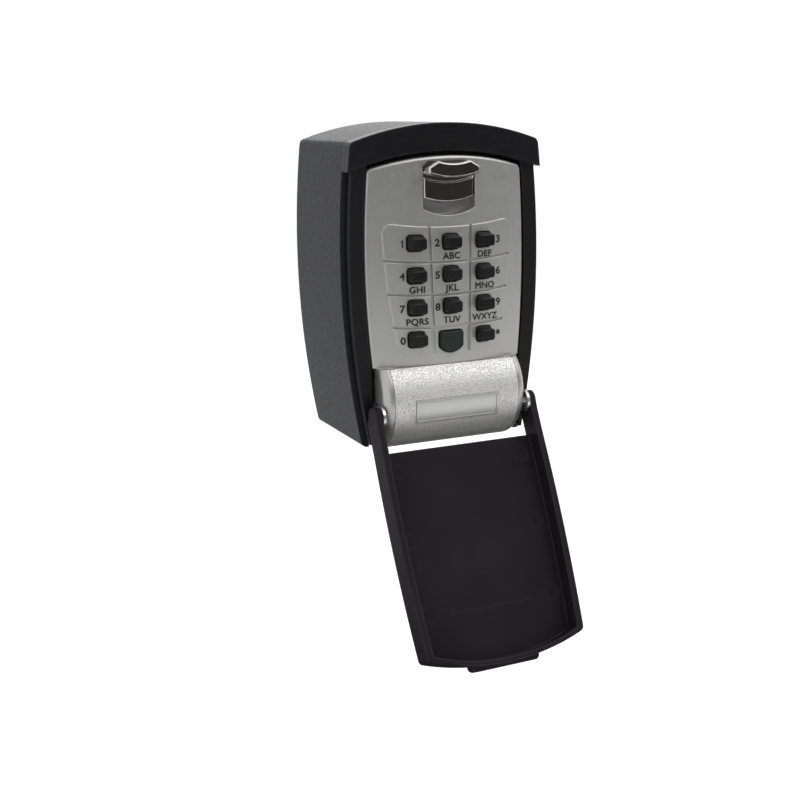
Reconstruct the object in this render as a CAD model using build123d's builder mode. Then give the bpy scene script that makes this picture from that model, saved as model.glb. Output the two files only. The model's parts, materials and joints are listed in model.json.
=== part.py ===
from build123d import *
import os
from math import cos, radians, sin, sqrt

os.makedirs("parts", exist_ok=True)

# Wall-mounted push-button key lock box. Millimetres.
# Origin: centre of the four wall-screw holes, on the back plane.
# +Y points into the wall, -Y out of the front, +Z up, +X to the right.

# ---- casing -------------------------------------------------------------
HALF_WIDTH = 38.0          # at the widest height
WIDEST_Z = 7.4
SIDE_BOW = 0.0015          # barrel-shaped sides: half width falls with z squared
CASE_BOTTOM = -57.6
CASE_SHOULDER = 47.9       # side corner of the arched top
CASE_CROWN = 54.1          # middle of the arched top
CASE_DEPTH = 44.0
CASE_WALL = 2.6
BACK_WALL = 4.0
CORNER_R = 2.4

# ---- front bezel with its hood ------------------------------------------
BEZEL_FRONT = 48.0
BEZEL_INSET = 1.74
BEZEL_LIP_BACK = 38.0
LIP_INSET = 2.75
HOOD_FRONT = 49.6
HOOD_UNDER_MID = 44.65
HOOD_UNDER_SIDE = 38.4
OPENING_MARGIN = 6.96
OPENING_STEP = 0.3         # the door opening is this much lower than the hood
SEAL_FRONT = 42.0
SEAL_BACK = 41.0

# ---- door ---------------------------------------------------------------
DOOR_MARGIN = 7.36
DOOR_CROWN = 43.1
DOOR_ARCH_R = 106.0
DOOR_FRONT_MID = 51.7      # front of the convex face on the centre line
DOOR_BULGE_R = 118.0
DOOR_REAR = 42.3
DOOR_PLATE_REAR = 46.8
SEAM_Z = -28.8             # straight line where the lower barrel begins
PAD_RISE = 0.45

# ---- lower barrel and hinge ---------------------------------------------
BARREL_Y = -38.84
BARREL_Z = -41.22
BARREL_R = 18.16
BARREL_HALF = 27.45
BARREL_REAR = -43.5        # where the round face stops under the casing
COVER_HALF = 24.05
COVER_T = 1.76
HINGE_Y = -53.3
HINGE_Z = -45.1
SWEEP_R = 17.6             # room that the door's heel needs about the hinge
EAR_IN = 27.75
EAR_OUT = 28.75
EAR_R = 4.1
PIN_R = 1.5
PIN_START = 24.4
OPEN_HALF_LOW = 29.05      # half width of the bezel beside the barrel

# ---- flap ---------------------------------------------------------------
FLAP_ANGLE = 26.4          # it rests this far forward of straight down
FLAP_OUT = 5.5             # outer face from the pivot axis
FLAP_T = 2.2
FLAP_DEEP = 8.6
FLAP_NEAR = 12.3           # panel edge from the pivot axis
FLAP_FAR_SIDE = 84.6
FLAP_FAR_MID = 89.8
FLAP_TAB_END = 91.0
MARK_X = 24.2
MARK_ALONG = (18.8, 43.4, 69.2)
MARK_R = 2.6
MARK_DEPTH = 0.12
MOULD_LINE = 70.0
MOULD_LINE_LONG = 32.0
MOULD_LINE_WIDE = 0.5
HINGE_RIM_GAP = 1.1        # rim's middle, behind the pivot axis, clear of the door
ARM_IN = 29.05
ARM_OUT = 31.35
ARM_R = 3.5
PIN_IN_ARM = 1.4

# ---- keypad -------------------------------------------------------------
PITCH_X = 13.05
PITCH_Z = 11.12
TOP_ROW_Z = 13.93
KEYPAD_X = -0.2            # the keypad stands a little left of the middle
COLLAR_WIDE = 6.0
COLLAR_HIGH = 5.2
CAP_WIDE = 5.8
CAP_HIGH = 4.1
CAP_OUT = 4.2
COLLAR_OUT = 1.0
STEM_R = 1.7
CLEAR_Z = -20.95
CLEAR_CORNER_R = 1.0

# ---- thumb recess -------------------------------------------------------
RECESS_HALF = 9.95
RECESS_TOP = 41.4
RECESS_LOW_SIDE = 25.4
RECESS_LOW = 22.9

# ---- lock works behind the door -----------------------------------------
BOX_HALF = 25.0
BOX_WALL = 1.8
BOX_TOP = 37.3
BOX_BOTTOM = -28.3
BOX_REAR = 30.5
COVER_PLATE_T = 1.2
GUIDE_FRONT = 40.0
GUIDE_BACK = 39.0
GATE_FRONT = 38.6
GATE_BACK = 37.4
GATE_HALF = 17.6
GATE_BOTTOM = -22.6
GATE_TOP = 35.2
LATCH_TRAVEL = 3.6
LEVER_STEM_Z = 32.3
COVER_SCREW_AT = [(20.9, 33.2), (-20.9, 33.2), (20.9, -24.2), (-20.9, -24.2)]
GUIDE_SCREW_AT = [(20.3, 18.0), (-20.3, 18.0), (20.3, -18.4), (-20.3, -18.4)]

# ---- wall screws --------------------------------------------------------
SCREW_X = 38.0
SCREW_Z = 60.0
WALL_HOLE_R = 2.6


def half_width(z):
    """Half width of the casing's outside at height z."""
    return HALF_WIDTH - SIDE_BOW * (z - WIDEST_Z) ** 2


def door_front(x):
    """How far the door's convex face stands in front of the wall at x."""
    return DOOR_FRONT_MID - x * x / (2 * DOOR_BULGE_R)


def under_hood(x):
    """Height of the hood's arched underside at x."""
    span = half_width(HOOD_UNDER_SIDE)
    return HOOD_UNDER_MID - (HOOD_UNDER_MID - HOOD_UNDER_SIDE) * (x / span) ** 2


def arc(a, b, c):
    """Edge through three (x, y) points of a sketch."""
    return Edge.make_three_point_arc(Vector(*a), Vector(*b), Vector(*c))


def chain(*points):
    """Straight edges through (x, y) points of a sketch."""
    pairs = zip(points, points[1:])
    return [Edge.make_line(Vector(*a), Vector(*b)) for a, b in pairs]


def export(part, name):
    part.label = name
    export_step(part, "parts/" + name + ".step")


def barrel_outline(inset, bottom, shoulder, crown):
    """Outline with bowed sides and an arched top, as a face in the open sketch."""
    middle = (bottom + shoulder) / 2
    low = half_width(bottom) - inset
    mid = half_width(middle) - inset
    top = half_width(shoulder) - inset
    make_face(
        [
            arc((low, bottom), (mid, middle), (top, shoulder)),
            arc((top, shoulder), (0, crown), (-top, shoulder)),
            arc((-top, shoulder), (-mid, middle), (-low, bottom)),
        ]
        + chain((-low, bottom), (low, bottom))
    )


def circle_y(z, r):
    """Y of the lower barrel's round face of radius r at height z."""
    return BARREL_Y - sqrt(r * r - (z - BARREL_Z) ** 2)


def circle_z(y, r):
    """Lower Z of the lower barrel's round face of radius r at depth y."""
    return BARREL_Z - sqrt(r * r - (y - BARREL_Y) ** 2)


# Room swept by the door's heel, taken out of the casing.
with BuildPart() as heel_room:
    with BuildSketch(Plane.YZ):
        with Locations((HINGE_Y, HINGE_Z)):
            Circle(SWEEP_R)
    extrude(amount=OPEN_HALF_LOW, both=True)

# ------------------------------------------------------------------ casing
BOSS_AT = [(32.6, 30.0), (-32.6, 30.0), (32.4, -20.0), (-32.4, -20.0)]
POST_AT = [(20.0, HINGE_Z), (-20.0, HINGE_Z)]
POST_FRONT = 30.0

with BuildPart() as casing:
    with BuildSketch(Plane.XZ):
        barrel_outline(0, CASE_BOTTOM, CASE_SHOULDER, CASE_CROWN)
    extrude(amount=CASE_DEPTH)
    fillet(casing.edges().filter_by(Axis.Y), CORNER_R)
    fillet(casing.faces().sort_by(Axis.Y)[-1].edges(), 0.8)
    with BuildSketch(Plane.XZ.offset(BACK_WALL)):
        barrel_outline(
            CASE_WALL,
            CASE_BOTTOM + CASE_WALL,
            CASE_SHOULDER - CASE_WALL,
            CASE_CROWN - CASE_WALL,
        )
    extrude(amount=CASE_DEPTH, mode=Mode.SUBTRACT)
    # slim bosses on the side walls that carry the bezel
    with BuildSketch(Plane.XZ.offset(BACK_WALL - 0.5)):
        with Locations(*BOSS_AT):
            Circle(3.0)
    extrude(amount=BEZEL_LIP_BACK - BACK_WALL + 0.4)
    # posts that carry the hinge bracket
    with BuildSketch(Plane.XZ.offset(BACK_WALL - 0.5)):
        with Locations(*POST_AT):
            Circle(4.0)
    extrude(amount=POST_FRONT - BACK_WALL + 0.5)
    # raised seats round the wall-screw holes
    with BuildSketch(Plane.XZ.offset(BACK_WALL - 0.5)):
        with GridLocations(SCREW_X, SCREW_Z, 2, 2):
            Circle(6.0)
    extrude(amount=1.3)
    # two stiffening ribs up the back wall
    with BuildSketch(Plane.XZ.offset(BACK_WALL - 0.5)):
        with Locations((27.5, 4), (-27.5, 4)):
            Rectangle(1.6, 76)
    extrude(amount=1.7)
    with BuildSketch(Plane.XZ):
        with GridLocations(SCREW_X, SCREW_Z, 2, 2):
            Circle(WALL_HOLE_R)
    extrude(amount=BACK_WALL + 2, mode=Mode.SUBTRACT)
    # bezel screws go in from the back, heads deep in the bosses
    with BuildSketch(Plane.XZ):
        with Locations(*BOSS_AT):
            Circle(2.3)
    extrude(amount=30.0, mode=Mode.SUBTRACT)
    with BuildSketch(Plane.XZ.offset(29.0)):
        with Locations(*BOSS_AT):
            Circle(1.4)
    extrude(amount=10.0, mode=Mode.SUBTRACT)
    with BuildSketch(Plane.XZ.offset(20.0)):
        with Locations(*POST_AT):
            Circle(1.27)
    extrude(amount=12.0, mode=Mode.SUBTRACT)
    # shallow relief across the back so the rim bears on the wall
    with BuildSketch(Plane.XZ):
        Rectangle(24, 46)
    extrude(amount=0.8, mode=Mode.SUBTRACT)
    add(heel_room.part, mode=Mode.SUBTRACT)
export(casing.part, "casing")

# ------------------------------------------------------------------- bezel


def opening_outline(extra, mode=Mode.ADD):
    """Door opening: bowed sides above the seam, straight beside the barrel."""
    crown = HOOD_UNDER_MID - OPENING_STEP - extra
    top_z = under_hood(half_width(39.5) - OPENING_MARGIN) - OPENING_STEP - extra
    top_x = half_width(top_z) - OPENING_MARGIN - extra
    low_x = OPEN_HALF_LOW - extra
    mid_x = half_width(5) - OPENING_MARGIN - extra
    low_z = CASE_BOTTOM - 5
    make_face(
        [
            arc((low_x, SEAM_Z), (mid_x, 5), (top_x, top_z)),
            arc((top_x, top_z), (0, crown), (-top_x, top_z)),
            arc((-top_x, top_z), (-mid_x, 5), (-low_x, SEAM_Z)),
        ]
        + chain((-low_x, SEAM_Z), (-low_x, low_z), (low_x, low_z), (low_x, SEAM_Z)),
        mode=mode,
    )


with BuildPart() as bezel:
    with BuildSketch(Plane.XZ.offset(CASE_DEPTH)):
        barrel_outline(
            BEZEL_INSET,
            CASE_BOTTOM + 1.6,
            CASE_SHOULDER - BEZEL_INSET,
            CASE_CROWN - BEZEL_INSET,
        )
    extrude(amount=BEZEL_FRONT - CASE_DEPTH)
    with BuildSketch(Plane.XZ.offset(BEZEL_LIP_BACK)):
        barrel_outline(
            LIP_INSET,
            CASE_BOTTOM + 2.8,
            CASE_SHOULDER - LIP_INSET,
            CASE_CROWN - LIP_INSET,
        )
    extrude(amount=CASE_DEPTH - BEZEL_LIP_BACK)
    # hood: full width, arched above and below
    with BuildSketch(Plane.XZ.offset(CASE_DEPTH)):
        span = half_width(HOOD_UNDER_SIDE)
        mid_z = (HOOD_UNDER_SIDE + CASE_SHOULDER) / 2
        mid_x = half_width(mid_z)
        top_x = half_width(CASE_SHOULDER)
        make_face(
            [
                arc((span, HOOD_UNDER_SIDE), (mid_x, mid_z), (top_x, CASE_SHOULDER)),
                arc((top_x, CASE_SHOULDER), (0, CASE_CROWN), (-top_x, CASE_SHOULDER)),
                arc((-top_x, CASE_SHOULDER), (-mid_x, mid_z), (-span, HOOD_UNDER_SIDE)),
                arc((-span, HOOD_UNDER_SIDE), (0, HOOD_UNDER_MID), (span, HOOD_UNDER_SIDE)),
            ]
        )
    extrude(amount=HOOD_FRONT - CASE_DEPTH)
    hood_corners = (
        bezel.edges()
        .filter_by(Axis.Y)
        .filter_by_position(Axis.Z, CASE_SHOULDER - 0.3, CASE_SHOULDER + 0.3)
        .filter_by_position(Axis.Y, -HOOD_FRONT, -CASE_DEPTH)
    )
    fillet(hood_corners, CORNER_R)
    # door opening through everything
    with BuildSketch(Plane.XZ.offset(BEZEL_LIP_BACK - 1)):
        opening_outline(0)
    extrude(amount=HOOD_FRONT - BEZEL_LIP_BACK + 2, mode=Mode.SUBTRACT)
    # ledge behind the door's edge that holds the seal
    with BuildSketch(Plane.XZ.offset(BEZEL_LIP_BACK)):
        opening_outline(-0.6)
        opening_outline(1.6, mode=Mode.SUBTRACT)
        with Locations((0, -64)):
            Rectangle(90, 76, mode=Mode.SUBTRACT)
    extrude(amount=SEAL_BACK - BEZEL_LIP_BACK)
    with BuildSketch(Plane.XZ.offset(BEZEL_LIP_BACK)):
        with Locations(*BOSS_AT):
            Circle(1.27)
    extrude(amount=5.0, mode=Mode.SUBTRACT)
    # strike screw holes in the top of the lip
    with BuildSketch(Plane.XZ.offset(BEZEL_LIP_BACK)):
        with Locations((10, 47.4), (-10, 47.4)):
            Circle(1.02)
    extrude(amount=4.5, mode=Mode.SUBTRACT)
export(bezel.part, "bezel")

with BuildPart() as door_seal:
    with BuildSketch(Plane.XZ.offset(SEAL_BACK)):
        opening_outline(0.1)
        opening_outline(1.5, mode=Mode.SUBTRACT)
        with Locations((0, -64)):
            Rectangle(90, 76, mode=Mode.SUBTRACT)
    extrude(amount=SEAL_FRONT - SEAL_BACK)
export(door_seal.part, "door_seal")


def pan_screw(x, z, head_y, head_r, head_t, shank_r, length, forward):
    """Cross-slot pan screw along Y. forward is 1 when the shank points to -Y."""
    lengthwise = (90, 0, 0) if forward == 1 else (-90, 0, 0)
    shank_align = (Align.CENTER, Align.CENTER, Align.MIN)
    head_align = (Align.CENTER, Align.CENTER, Align.MAX)
    with Locations((x, -head_y, z)):
        Cylinder(head_r, head_t, rotation=lengthwise, align=head_align)
        Cylinder(shank_r, length, rotation=lengthwise, align=shank_align)
    slot = head_t * 0.5
    with Locations((x, -head_y + forward * (head_t - slot / 2), z)):
        Box(head_r * 1.2, slot, head_r * 0.28, mode=Mode.SUBTRACT)
        Box(head_r * 0.28, slot, head_r * 1.2, mode=Mode.SUBTRACT)


with BuildPart() as bezel_screws:
    for bx, bz in BOSS_AT:
        pan_screw(bx, bz, 30.0, 2.1, 1.6, 1.25, 12.4, 1)
export(bezel_screws.part, "bezel_screws")

# ------------------------------------------------------ strike and brackets
with BuildPart() as strike_plate:
    with BuildSketch(Plane.XZ.offset(36.8)):
        with Locations((0, 47.6)):
            RectangleRounded(28, 5.4, 1.2)
    extrude(amount=1.2)
    # return flange that the bolt bears against
    with BuildSketch(Plane.XZ.offset(33.6)):
        with Locations((0, 45.5)):
            Rectangle(13, 1.2)
    extrude(amount=3.4)
    with BuildSketch(Plane.XZ.offset(36.0)):
        with Locations((10, 47.4), (-10, 47.4)):
            Circle(1.2)
    extrude(amount=3.0, mode=Mode.SUBTRACT)
export(strike_plate.part, "strike_plate")

with BuildPart() as strike_screws:
    for sx in (10, -10):
        pan_screw(sx, 47.4, 36.8, 2.0, 1.1, 1.0, 5.2, 1)
export(strike_screws.part, "strike_screws")

with BuildPart() as hinge_bracket:
    for side in (1, -1):
        with BuildSketch(Plane.YZ.offset(side * EAR_IN)):
            with Locations((HINGE_Y, HINGE_Z)):
                Circle(EAR_R)
            with Locations(((HINGE_Y - POST_FRONT) / 2, HINGE_Z)):
                Rectangle(-HINGE_Y - POST_FRONT, 7.6)
            with Locations((HINGE_Y, HINGE_Z)):
                Circle(PIN_R + 0.06, mode=Mode.SUBTRACT)
        extrude(amount=side * (EAR_OUT - EAR_IN))
    with BuildSketch(Plane.XZ.offset(POST_FRONT)):
        with Locations((0, HINGE_Z)):
            Rectangle(2 * EAR_OUT, 7.6)
        with Locations(*POST_AT):
            Circle(1.6, mode=Mode.SUBTRACT)
    extrude(amount=1.0)
export(hinge_bracket.part, "hinge_bracket")

with BuildPart() as bracket_screws:
    for px, pz in POST_AT:
        pan_screw(px, pz, 31.0, 2.6, 1.6, 1.25, 9.0, -1)
export(bracket_screws.part, "bracket_screws")

# --------------------------------------------------------------- key hook
HOOK_Z = 30.0
with BuildPart() as key_hook:
    with BuildSketch(Plane.XZ.offset(BACK_WALL)):
        with Locations((0, HOOK_Z)):
            RectangleRounded(14, 8, 1.5)
    extrude(amount=1.4)
    with BuildLine() as hook_path:
        Line((0, -BACK_WALL - 1.0, HOOK_Z), (0, -14, HOOK_Z))
        ThreePointArc(
            (0, -14, HOOK_Z),
            (0, -14 - 2.5 * sin(radians(45)), HOOK_Z + 2.5 * (1 - cos(radians(45)))),
            (0, -16.5, HOOK_Z + 2.5),
        )
        Line((0, -16.5, HOOK_Z + 2.5), (0, -16.5, HOOK_Z + 5.5))
    with BuildSketch(Plane.XZ.offset(BACK_WALL + 1.0)):
        with Locations((0, HOOK_Z)):
            Circle(1.2)
    sweep(path=hook_path.wires()[0])
    with BuildSketch(Plane.XZ.offset(BACK_WALL)):
        with Locations((4.6, HOOK_Z), (-4.6, HOOK_Z)):
            Circle(0.9)
    extrude(amount=2.0, mode=Mode.SUBTRACT)
export(key_hook.part, "key_hook")

# ------------------------------------------------------------------- flap
d_y = -sin(radians(FLAP_ANGLE))
d_z = -cos(radians(FLAP_ANGLE))
flap_face = Plane(
    origin=(0, HINGE_Y, HINGE_Z), x_dir=(1, 0, 0), z_dir=(0, -d_z, d_y)
)


def flap_outline(inset, near, far_side, far_mid):
    """Flap seen square on: x across, y away from the pivot."""
    half = [ARM_OUT - inset, ARM_OUT + 0.1 - inset, ARM_OUT - 1.3 - inset]
    mid = (near + far_side) / 2
    make_face(
        [
            arc((half[0], near), (half[1], mid), (half[2], far_side)),
            arc((half[2], far_side), (0, far_mid), (-half[2], far_side)),
            arc((-half[2], far_side), (-half[1], mid), (-half[0], near)),
        ]
        + chain((-half[0], near), (half[0], near))
    )


with BuildPart() as weather_flap:
    with BuildSketch(flap_face.offset(FLAP_OUT - FLAP_DEEP)):
        flap_outline(0, FLAP_NEAR, FLAP_FAR_SIDE, FLAP_FAR_MID)
    extrude(amount=FLAP_DEEP)
    # finger tab on the free edge
    with BuildSketch(flap_face.offset(FLAP_OUT - 4.2)):
        with Locations((0, FLAP_TAB_END - 2.6)):
            RectangleRounded(26, 5.2, 1.8)
    extrude(amount=4.2)
    with BuildSketch(flap_face.offset(FLAP_OUT - FLAP_DEEP)):
        flap_outline(2.3, FLAP_NEAR - 1, FLAP_FAR_SIDE - 1.6, FLAP_FAR_MID - 1.6)
    extrude(amount=FLAP_DEEP - FLAP_T, mode=Mode.SUBTRACT)
    # the rim of the free edge follows the door's bulge when the flap is shut
    across = Plane(origin=(0, HINGE_Y, HINGE_Z), x_dir=(1, 0, 0), z_dir=(0, d_y, d_z))
    bulge = DOOR_BULGE_R + 0.5
    with BuildSketch(across.offset(FLAP_NEAR - 2)):
        with Locations((0, bulge + HINGE_RIM_GAP)):
            Circle(bulge)
    extrude(amount=FLAP_FAR_MID, mode=Mode.SUBTRACT)
    # rounded corners of the free edge
    far_corners = (
        weather_flap.edges()
        .filter_by(lambda e: abs(e.length - FLAP_DEEP) < 0.6)
        .filter_by(lambda e: e.center().Z < HINGE_Z - 60)
    )
    fillet(far_corners, 1.8)
    # shallow ejector-pin marks and a mould line on the inner face
    with BuildSketch(flap_face.offset(FLAP_OUT - FLAP_T - 0.5)):
        with Locations(*[(side * MARK_X, along) for side in (1, -1) for along in MARK_ALONG]):
            Circle(MARK_R)
        with Locations((0, MOULD_LINE)):
            Rectangle(MOULD_LINE_LONG, MOULD_LINE_WIDE)
    extrude(amount=0.5 + MARK_DEPTH, mode=Mode.SUBTRACT)
    # two arms
    for side in (1, -1):
        arm_plane = Plane(
            origin=(side * ARM_IN, HINGE_Y, HINGE_Z), x_dir=(0, d_y, d_z), z_dir=(1, 0, 0)
        )
        with BuildSketch(arm_plane):
            Circle(ARM_R)
            with BuildLine():
                Polyline(
                    (0, 0),
                    (-0.8, 3.4),
                    (0.7, 5.86),
                    (2.2, FLAP_OUT),
                    (FLAP_NEAR + 0.5, FLAP_OUT),
                    (FLAP_NEAR + 0.5, FLAP_OUT - FLAP_DEEP),
                    (4, FLAP_OUT - FLAP_DEEP),
                    (0.8, -3.4),
                    (0, 0),
                )
            make_face()
        extrude(amount=side * (ARM_OUT - ARM_IN))
        # blind socket that snaps over the hinge pin
        with BuildSketch(arm_plane.offset(-side * 0.5)):
            Circle(PIN_R + 0.06)
        extrude(amount=side * (PIN_IN_ARM + 0.7), mode=Mode.SUBTRACT)
export(weather_flap.part, "weather_flap")

# -------------------------------------------------------------- door casting
DIGITS = [["1", "2", "3"], ["4", "5", "6"], ["7", "8", "9"], ["0", None, "star"]]
KEYS = []
for row in range(4):
    for col in range(3):
        if DIGITS[row][col]:
            key_x = KEYPAD_X + (col - 1) * PITCH_X
            key_z = TOP_ROW_Z - row * PITCH_Z
            KEYS.append((DIGITS[row][col], key_x, key_z))


def round_cell(x, z, wide, high, corner):
    with Locations((x, z)):
        RectangleRounded(wide, high, corner)


def clear_cell(grow):
    """Outline of the clear button: flat top with rounded corners, round bottom."""
    left = KEYPAD_X - 4.4 - grow
    right = KEYPAD_X + 4.4 + grow
    top = CLEAR_Z + 3.75 + grow
    low = CLEAR_Z - 3.75 - grow
    waist = CLEAR_Z - 1.6
    bend = CLEAR_CORNER_R + grow
    diagonal = bend * (1 - sqrt(0.5))
    make_face(
        [
            arc((right, waist), (KEYPAD_X, low), (left, waist)),
            arc(
                (left, top - bend),
                (left + diagonal, top - diagonal),
                (left + bend, top),
            ),
            arc(
                (right - bend, top),
                (right - diagonal, top - diagonal),
                (right, top - bend),
            ),
        ]
        + chain((left, waist), (left, top - bend))
        + chain((left + bend, top), (right - bend, top))
        + chain((right, top - bend), (right, waist))
    )


PAD_TOP_SIDE = 21.2
PAD_TOP_MID = 19.0
PAD_BOTTOM_SIDE = -23.4
SMILE = 1.7
GROOVE = 0.95
GROOVE_PITCH = 11.4
GROOVE_DEPTH = 0.45        # below the door's face, between the pads


def smile_band(z_mid, thick, mode=Mode.ADD):
    """Groove across the pads, lowest in the middle."""
    low = z_mid - thick
    make_face(
        [
            arc((-27, z_mid + SMILE), (0, z_mid), (27, z_mid + SMILE)),
            arc((27, low + SMILE), (0, low), (-27, low + SMILE)),
        ]
        + chain((27, z_mid + SMILE), (27, low + SMILE))
        + chain((-27, low + SMILE), (-27, z_mid + SMILE)),
        mode=mode,
    )


def pad_outline():
    """The keypad's raised field: arched top edge, bowed sides that draw in downward."""
    make_face(
        [
            arc((-24.9, PAD_TOP_SIDE), (0, PAD_TOP_MID), (24.9, PAD_TOP_SIDE)),
            arc((24.9, PAD_TOP_SIDE), (23.3, 0), (19.6, PAD_BOTTOM_SIDE)),
            arc((19.6, PAD_BOTTOM_SIDE), (0, PAD_BOTTOM_SIDE - 1.6), (-19.6, PAD_BOTTOM_SIDE)),
            arc((-19.6, PAD_BOTTOM_SIDE), (-23.3, 0), (-24.9, PAD_TOP_SIDE)),
        ]
    )
    fillet(vertices(), 3.2)


def groove_lines():
    """Grooves between the cells: three across, two down that draw together."""
    for line in range(3):
        smile_band(7.5 - line * GROOVE_PITCH, GROOVE)
    for x_top, x_low in ((-8.25, -6.5), (7.75, 6.85)):
        make_face(
            chain(
                (x_top - GROOVE / 2, 22),
                (x_top + GROOVE / 2, 22),
                (x_low + GROOVE / 2, -26),
                (x_low - GROOVE / 2, -26),
                (x_top - GROOVE / 2, 22),
            )
        )


with BuildPart() as keypad_pads:
    with BuildSketch(Plane.XZ.offset(47.0)):
        pad_outline()
        with Locations((KEYPAD_X, -25.1)):
            Rectangle(15.0, 20.5, mode=Mode.SUBTRACT)
    extrude(amount=6.0)
    with BuildSketch(Plane.XY.offset(-40)):
        with Locations((0, DOOR_BULGE_R - DOOR_FRONT_MID)):
            Circle(DOOR_BULGE_R + PAD_RISE)
    extrude(amount=80, mode=Mode.INTERSECT)

# The grooves, cut a little below the door's own face.
with BuildPart() as keypad_grooves:
    with BuildSketch(Plane.XZ.offset(47.0)):
        pad_outline()
    extrude(amount=8.0)
    with BuildSketch(Plane.XZ.offset(46.0)):
        groove_lines()
    extrude(amount=10.0, mode=Mode.INTERSECT)
    with BuildSketch(Plane.XY.offset(-40)):
        with Locations((0, DOOR_BULGE_R - DOOR_FRONT_MID)):
            Circle(DOOR_BULGE_R - GROOVE_DEPTH)
    extrude(amount=80, mode=Mode.SUBTRACT)


# Lower barrel of the door: a round bar with well rounded ends, cut off at the rear.
with BuildPart() as barrel:
    with BuildSketch(Plane.YZ):
        with Locations((BARREL_Y, BARREL_Z)):
            Circle(BARREL_R)
    extrude(amount=BARREL_HALF, both=True)
    fillet(barrel.edges().filter_by(GeomType.CIRCLE), BARREL_HALF - COVER_HALF)
    with BuildSketch(Plane.YZ):
        make_face(
            chain(
                (BARREL_REAR, BARREL_Z - BARREL_R - 1),
                (BARREL_REAR, circle_z(BARREL_REAR, BARREL_R)),
                (-43.0, -52.0),
                (-DOOR_REAR, -46.0),
                (-DOOR_REAR, SEAM_Z),
                (BARREL_Y - BARREL_R - 1, SEAM_Z),
                (BARREL_Y - BARREL_R - 1, BARREL_Z - BARREL_R - 1),
                (BARREL_REAR, BARREL_Z - BARREL_R - 1),
            )
        )
    extrude(amount=BARREL_HALF + 1, both=True, mode=Mode.INTERSECT)


def recess_outline(grow):
    """Thumb-lever recess: cut top corners, curved bottom."""
    left = KEYPAD_X - RECESS_HALF - grow
    right = KEYPAD_X + RECESS_HALF + grow
    make_face(
        chain(
            (left, RECESS_LOW_SIDE),
            (left, RECESS_TOP - 1.8 + grow),
            (left + 2.0, RECESS_TOP + grow),
            (right - 2.0, RECESS_TOP + grow),
            (right, RECESS_TOP - 1.8 + grow),
            (right, RECESS_LOW_SIDE),
        )
        + [arc((right, RECESS_LOW_SIDE), (KEYPAD_X, RECESS_LOW - grow), (left, RECESS_LOW_SIDE))]
    )


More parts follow.
